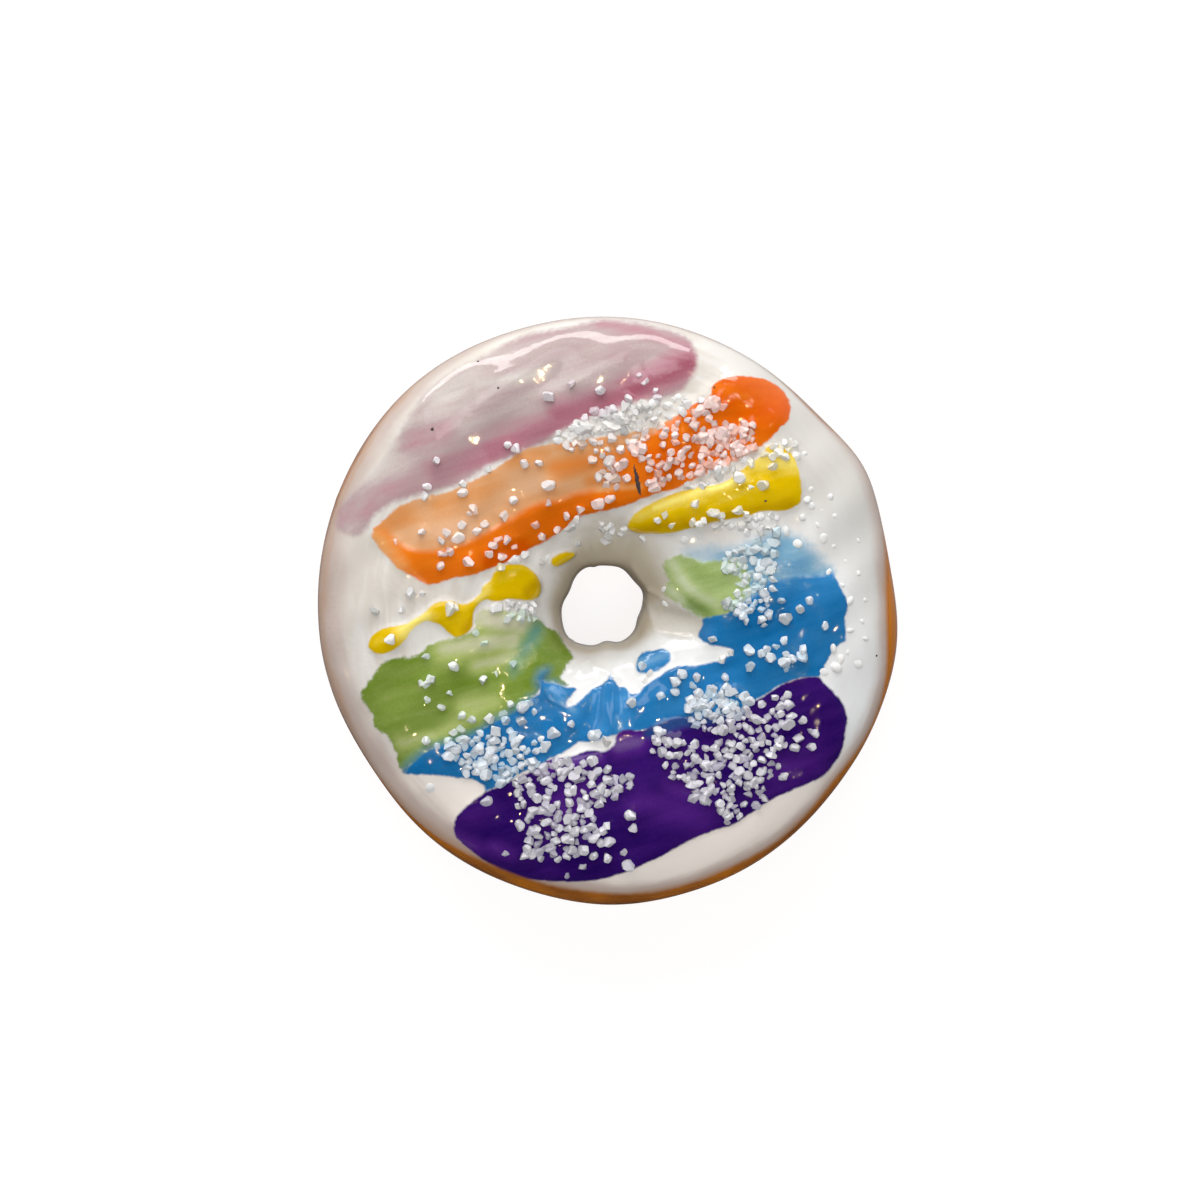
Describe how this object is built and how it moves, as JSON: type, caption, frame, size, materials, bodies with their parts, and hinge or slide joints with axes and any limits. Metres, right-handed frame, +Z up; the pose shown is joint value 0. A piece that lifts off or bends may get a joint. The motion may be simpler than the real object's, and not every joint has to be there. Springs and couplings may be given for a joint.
{
  "type": "ceramic frosted doughnut",
  "caption": "Glazed ceramic copy of a frosted ring doughnut: honey-brown ring, white icing coat with rainbow strokes and sugar-like crystals.",
  "frame": {"origin": "middle of the bounding box on the flat foot that the doughnut lies on", "axes": "+Z up through the hole, out of the iced face; +Y towards the lilac stroke, the top of the picture; +X to the right of the picture"},
  "size_m": [0.0993, 0.1008, 0.0294],
  "materials": {
    "honey_glaze": "gloss",
    "white_glaze": "gloss",
    "crystals": "gloss"
  },
  "bodies": {
    "root": {"doughnut_ring": "honey_glaze", "icing": "white_glaze"}
  },
  "joints": []
}
